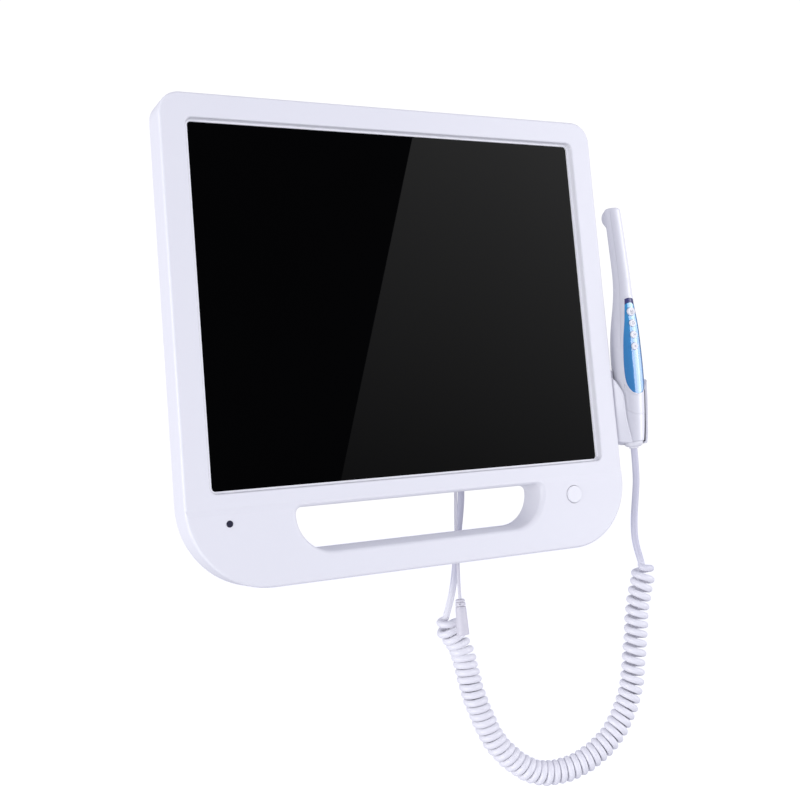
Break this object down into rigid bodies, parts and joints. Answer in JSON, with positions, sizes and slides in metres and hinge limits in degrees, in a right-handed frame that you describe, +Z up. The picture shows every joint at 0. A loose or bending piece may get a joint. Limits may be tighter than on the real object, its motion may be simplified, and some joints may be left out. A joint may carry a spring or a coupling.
{
  "type": "intraoral camera",
  "caption": "Intraoral camera system: flat monitor with carry handle, side holder with a camera handpiece standing in it, coiled handpiece cord and a short power lead with a socket.",
  "frame": {"origin": "centre of the square screw pattern on the monitor's rear mounting face", "axes": "+X to the viewer's right along the screen, +Y out of the back of the monitor, +Z up the screen"},
  "size_m": [0.4222, 0.0772, 0.5628],
  "materials": {
    "bezel_plastic": "fine satin texture",
    "cover_plastic": "fine satin texture",
    "gasket_foam": "matt",
    "screen_glass": "polished, anti-reflection tint",
    "lcd_black": "polariser film",
    "sheet_steel": "zinc plated",
    "circuit_board": "solder mask",
    "chip_plastic": "moulded",
    "heatsink_aluminium": "extruded",
    "brass_insert": "turned",
    "screw_steel": "nickel plated",
    "button_plastic": "satin",
    "switch_metal": "stamped",
    "ir_window_plastic": "dark tinted",
    "lining_rubber": "matt",
    "holder_plastic": "satin",
    "handpiece_plastic": "polished",
    "control_panel_film": "printed film",
    "indicator_plastic": "dark tinted",
    "cord_jacket": "satin polyurethane",
    "gland_rubber": "satin",
    "lead_jacket": "satin",
    "socket_plastic": "moulded",
    "contact_metal": "nickel plated",
    "lens_glass": "coated",
    "lens_black": "matt",
    "led_yellow": "phosphor",
    "flex_film": "polyimide film"
  },
  "bodies": {
    "monitor": {"front_bezel": "bezel_plastic", "screen_gasket": "gasket_foam", "screen_glass": "screen_glass", "lcd_cell": "lcd_black", "backlight_unit": "sheet_steel", "panel_bracket": "sheet_steel", "rear_cover": "cover_plastic", "vesa_inserts": "brass_insert", "casing_screws": "screw_steel", "main_board": "circuit_board", "board_components": "chip_plastic", "chip_heatsink": "heatsink_aluminium", "board_standoffs": "brass_insert", "power_board": "circuit_board", "power_board_components": "chip_plastic", "power_board_standoffs": "brass_insert", "button_board": "circuit_board", "power_switch": "switch_metal", "button_board_posts": "brass_insert", "ir_window": "ir_window_plastic", "ir_receiver": "chip_plastic", "ir_board": "circuit_board", "handpiece_holder": "holder_plastic", "holder_lining": "lining_rubber", "holder_screws": "screw_steel", "handpiece_cord_gland": "gland_rubber", "power_lead_gland": "gland_rubber", "curly_cord_lead": "cord_jacket", "curly_cord_coil": "cord_jacket", "curly_cord_tail": "cord_jacket", "power_lead": "lead_jacket", "power_socket_boot": "socket_plastic", "power_socket_body": "socket_plastic", "power_socket_sleeve": "contact_metal", "power_socket_pin": "contact_metal"},
    "power_button": {"power_button": "button_plastic"},
    "handpiece": {"handpiece_front_shell": "handpiece_plastic", "handpiece_rear_shell": "handpiece_plastic", "tail_cap": "handpiece_plastic", "control_panel": "control_panel_film", "indicator_window": "indicator_plastic", "tact_switches": "switch_metal", "handpiece_board": "circuit_board", "lens_barrel": "lens_black", "objective_lens": "lens_glass", "lens_window": "lens_glass", "sensor_module": "chip_plastic", "led_ring_board": "circuit_board", "head_leds": "led_yellow", "lens_bezel": "lens_black", "head_flex_cable": "flex_film", "cord_clamp": "switch_metal", "cord_strain_relief": "gland_rubber"},
    "handpiece_button_1": {"handpiece_button_1": "button_plastic"},
    "handpiece_button_2": {"handpiece_button_2": "button_plastic"},
    "handpiece_button_3": {"handpiece_button_3": "button_plastic"},
    "handpiece_button_4": {"handpiece_button_4": "button_plastic"}
  },
  "joints": [
    {"name": "power_button_press", "type": "slide", "parent": "monitor", "child": "power_button", "axis": [0, 1, 0], "range_m": [0, 0.001], "stiffness_N_per_m": 900},
    {"name": "handpiece_lift", "type": "slide", "parent": "monitor", "child": "handpiece", "axis": [0, 0, 1], "range_m": [0, 0.08]},
    {"name": "handpiece_button_1_press", "type": "slide", "parent": "handpiece", "child": "handpiece_button_1", "axis": [0, 1, 0], "range_m": [0, 0.0005], "stiffness_N_per_m": 1200},
    {"name": "handpiece_button_2_press", "type": "slide", "parent": "handpiece", "child": "handpiece_button_2", "axis": [0, 1, 0], "range_m": [0, 0.0005], "stiffness_N_per_m": 1200},
    {"name": "handpiece_button_3_press", "type": "slide", "parent": "handpiece", "child": "handpiece_button_3", "axis": [0, 1, 0], "range_m": [0, 0.0005], "stiffness_N_per_m": 1200},
    {"name": "handpiece_button_4_press", "type": "slide", "parent": "handpiece", "child": "handpiece_button_4", "axis": [0, 1, 0], "range_m": [0, 0.0005], "stiffness_N_per_m": 1200}
  ]
}
